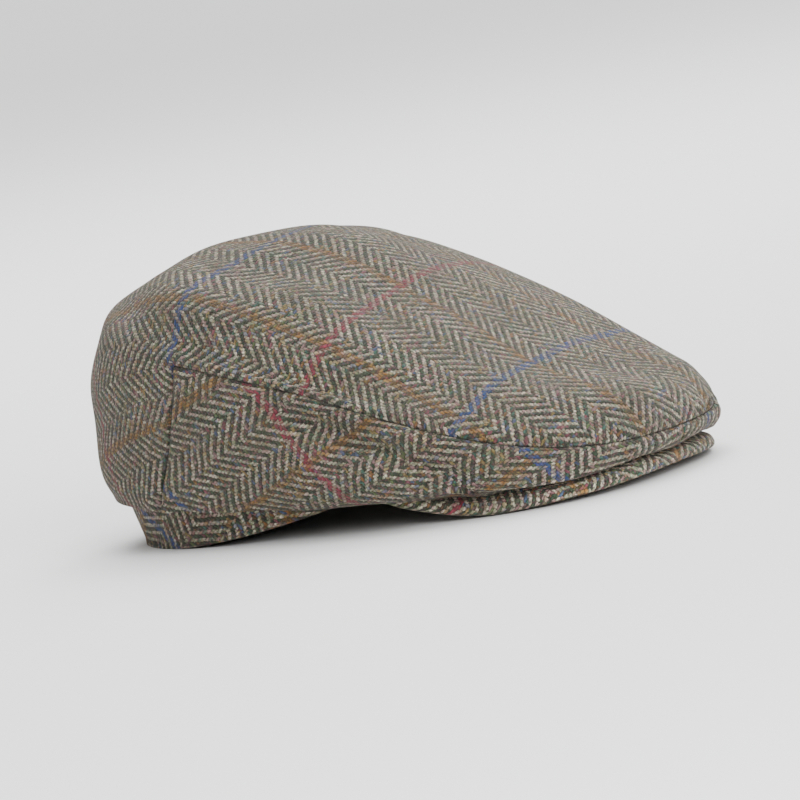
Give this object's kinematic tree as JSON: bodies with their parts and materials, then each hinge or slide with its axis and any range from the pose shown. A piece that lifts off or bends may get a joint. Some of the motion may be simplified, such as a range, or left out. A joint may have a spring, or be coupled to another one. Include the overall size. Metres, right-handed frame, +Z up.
{
  "type": "flat cap",
  "caption": "Tweed flat cap with a one-piece top over bias side panels, a narrow band and a stiff peak under the front of the crown.",
  "frame": {"origin": "on the rest plane, under the middle of the cap", "axes": "+X to the front of the cap, +Y to the wearer's left, +Z up"},
  "size_m": [0.2839, 0.1996, 0.1247],
  "materials": {
    "tweed_top": "brushed wool herringbone with an overcheck",
    "tweed_side": "brushed wool herringbone cut on the bias",
    "tweed_band": "brushed wool herringbone",
    "tweed_peak": "brushed wool herringbone over a stiff board"
  },
  "bodies": {
    "root": {"crown_top": "tweed_top", "side_panel_left": "tweed_side", "side_panel_right": "tweed_side", "band": "tweed_band", "peak": "tweed_peak"}
  },
  "joints": []
}
